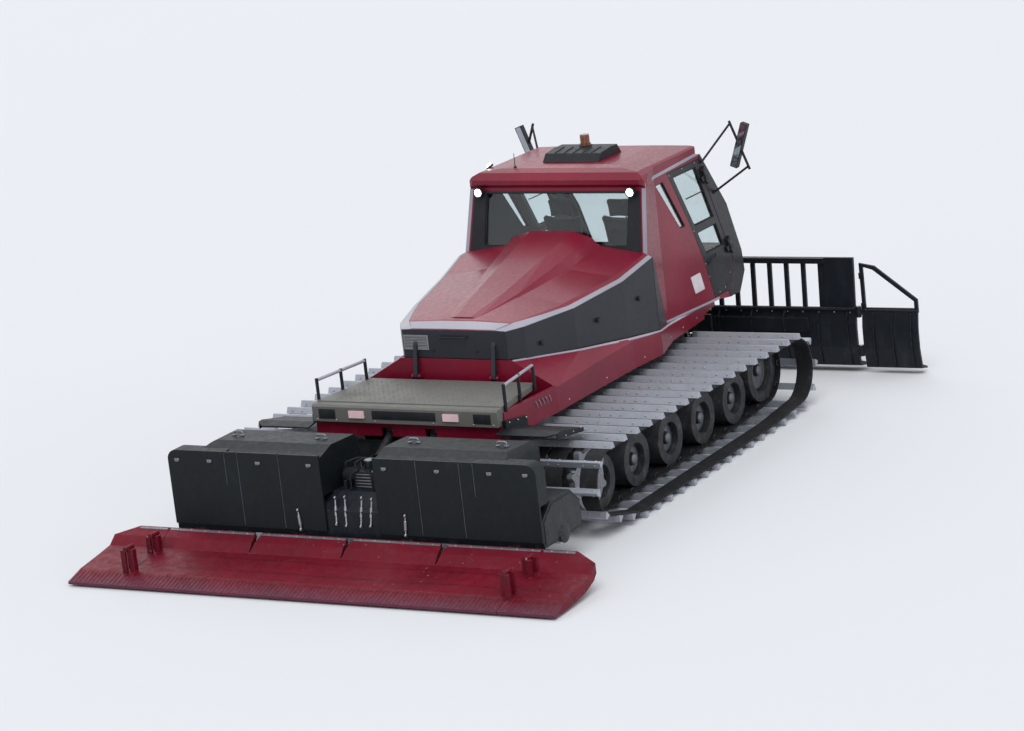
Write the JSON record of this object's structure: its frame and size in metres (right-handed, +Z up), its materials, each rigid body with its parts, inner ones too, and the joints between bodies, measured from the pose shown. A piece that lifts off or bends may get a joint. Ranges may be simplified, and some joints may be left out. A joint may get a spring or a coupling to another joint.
{
  "type": "snow groomer",
  "caption": "Snow groomer on two wide tracks, with a glazed cab, sloped engine hood, load deck, front blade with folding wings, and a rear tiller with a finishing comb.",
  "frame": {"origin": "centre of the machine's box, on the ground under the tracks", "axes": "+X forward to the blade, +Y left, +Z up"},
  "size_m": [8.52, 5.56, 3.11],
  "materials": {
    "frame_black": "satin",
    "engine_metal": "rough",
    "body_red": "gloss",
    "trim_black": "matt",
    "glass": "clear",
    "seat_cloth": "woven",
    "lamp_white": "clear",
    "beacon_amber": "clear",
    "charcoal": "satin",
    "deck_grey": "worn",
    "lamp_pink": "clear",
    "cover_black": "matt",
    "track_alloy": "worn",
    "tyre": "matt",
    "sprocket_metal": "worn",
    "blade_black": "worn",
    "rod_chrome": "polished",
    "comb_red": "satin"
  },
  "bodies": {
    "chassis": {"chassis_frame": "frame_black", "engine_block": "engine_metal", "lower_body": "body_red", "cab_shell": "body_red", "cab_roof": "body_red", "roof_hatch": "trim_black", "windscreen": "glass", "rear_window": "glass", "quarter_windows": "glass", "dashboard": "trim_black", "seats": "seat_cloth", "work_lamps": "lamp_white", "beacon": "beacon_amber", "mirrors": "trim_black", "side_fairings": "charcoal", "load_deck": "deck_grey", "deck_rails": "frame_black", "tail_lamps": "lamp_pink", "track_guards": "cover_black", "track_left": "track_alloy", "track_right": "track_alloy", "tyres": "tyre", "running_gear": "frame_black", "sprockets": "sprocket_metal"},
    "hood": {"hood_panel": "body_red", "hood_skirt": "charcoal"},
    "left_door": {"door_left": "charcoal", "door_glass_left": "glass"},
    "right_door": {"door_right": "charcoal", "door_glass_right": "glass"},
    "push_arms": {"push_frame": "frame_black"},
    "level_arms": {"level_links": "frame_black"},
    "head": {"blade_head": "frame_black"},
    "swing": {"blade_swing": "frame_black"},
    "blade": {"blade_board": "blade_black"},
    "left_wing": {"wing_left": "blade_black"},
    "right_wing": {"wing_right": "blade_black"},
    "front_barrels": {"front_lift_barrels": "frame_black"},
    "front_rods": {"front_lift_rods": "rod_chrome"},
    "tiller_arms": {"tiller_frame": "frame_black"},
    "tiller": {"tiller_housing": "blade_black", "tiller_covers": "cover_black"},
    "left_rotor": {"rotor_left": "sprocket_metal"},
    "right_rotor": {"rotor_right": "sprocket_metal"},
    "comb": {"comb_middle": "comb_red"},
    "left_comb": {"comb_left": "comb_red"},
    "right_comb": {"comb_right": "comb_red"},
    "rear_barrels": {"rear_lift_barrels": "frame_black"},
    "rear_rods": {"rear_lift_rods": "rod_chrome"}
  },
  "joints": [
    {"name": "hood_hinge", "type": "hinge", "parent": "chassis", "child": "hood", "pos_m": [-1.118, 0, 1.3], "axis": [0, -1, 0], "range_deg": [0, 60]},
    {"name": "left_door_hinge", "type": "hinge", "parent": "chassis", "child": "left_door", "pos_m": [2.675, 0.994, 2.69], "axis": [0.45, 0, -0.893], "range_deg": [0, 65]},
    {"name": "right_door_hinge", "type": "hinge", "parent": "chassis", "child": "right_door", "pos_m": [2.675, -0.994, 2.69], "axis": [-0.45, 0, 0.893], "range_deg": [0, 65]},
    {"name": "blade_lift", "type": "hinge", "parent": "chassis", "child": "push_arms", "pos_m": [2.72, 0, 0.6], "axis": [0, -1, 0], "range_deg": [-4, 24]},
    {"name": "level_arm_pivot", "type": "hinge", "parent": "chassis", "child": "level_arms", "pos_m": [2.72, 0, 0.835], "axis": [0, -1, 0], "range_deg": [-4, 24]},
    {"name": "head_level", "type": "hinge", "parent": "push_arms", "child": "head", "pos_m": [3.54, 0, 0.44], "axis": [0, -1, 0], "range_deg": [-24, 4]},
    {"name": "blade_swing", "type": "hinge", "parent": "head", "child": "swing", "pos_m": [3.71, 0, 0.555], "axis": [0, 0, 1], "range_deg": [-15, 15]},
    {"name": "blade_roll", "type": "hinge", "parent": "swing", "child": "blade", "pos_m": [3.91, 0, 0.555], "axis": [1, 0, 0], "range_deg": [-6, 6]},
    {"name": "left_wing_hinge", "type": "hinge", "parent": "blade", "child": "left_wing", "pos_m": [4, 2.085, 0.5], "axis": [0, 0, -1], "range_deg": [-8, 60]},
    {"name": "right_wing_hinge", "type": "hinge", "parent": "blade", "child": "right_wing", "pos_m": [4, -2.085, 0.5], "axis": [0, 0, 1], "range_deg": [-8, 60]},
    {"name": "front_barrel_pivot", "type": "hinge", "parent": "chassis", "child": "front_barrels", "pos_m": [2.715, 0, 0.93], "axis": [0, -1, 0], "range_deg": [-4, 20]},
    {"name": "front_rod_slide", "type": "slide", "parent": "front_barrels", "child": "front_rods", "axis": [0.8484, 0, -0.5293], "range_m": [-0.14, 0.03]},
    {"name": "tiller_lift", "type": "hinge", "parent": "chassis", "child": "tiller_arms", "pos_m": [-2.11, 0, 0.7], "axis": [0, 1, 0], "range_deg": [-3, 22]},
    {"name": "tiller_roll", "type": "hinge", "parent": "tiller_arms", "child": "tiller", "pos_m": [-2.54, 0, 0.62], "axis": [1, 0, 0], "range_deg": [-5, 5]},
    {"name": "left_rotor_spin", "type": "hinge", "parent": "tiller", "child": "left_rotor", "pos_m": [-2.85, 0, 0.335], "axis": [0, 1, 0], "continuous": true},
    {"name": "right_rotor_spin", "type": "hinge", "parent": "tiller", "child": "right_rotor", "pos_m": [-2.85, 0, 0.335], "axis": [0, 1, 0], "continuous": true},
    {"name": "comb_hinge", "type": "hinge", "parent": "tiller", "child": "comb", "pos_m": [-3.275, 0, 0.3], "axis": [0, 1, 0], "range_deg": [0, 20]},
    {"name": "left_comb_fold", "type": "hinge", "parent": "comb", "child": "left_comb", "pos_m": [-3.81, 2.083, 0.346], "axis": [1, 0, 0], "range_deg": [0, 90]},
    {"name": "right_comb_fold", "type": "hinge", "parent": "comb", "child": "right_comb", "pos_m": [-3.81, -2.083, 0.346], "axis": [-1, 0, 0], "range_deg": [0, 90]},
    {"name": "rear_barrel_pivot", "type": "hinge", "parent": "chassis", "child": "rear_barrels", "pos_m": [-1.97, 0, 1], "axis": [0, 1, 0], "range_deg": [-3, 12]},
    {"name": "rear_rod_slide", "type": "slide", "parent": "rear_barrels", "child": "rear_rods", "axis": [-0.8609, 0, -0.5087], "range_m": [-0.09, 0.02]}
  ],
  "couplings": [
    {"joint": "level_arm_pivot", "follows": "blade_lift", "ratio": 1},
    {"joint": "head_level", "follows": "blade_lift", "ratio": -1},
    {"joint": "front_barrel_pivot", "follows": "blade_lift", "ratio": 0.7592},
    {"joint": "front_rod_slide", "follows": "blade_lift", "m_per_rad": -0.2956},
    {"joint": "rear_barrel_pivot", "follows": "tiller_lift", "ratio": 0.4611},
    {"joint": "rear_rod_slide", "follows": "tiller_lift", "m_per_rad": -0.2048}
  ]
}
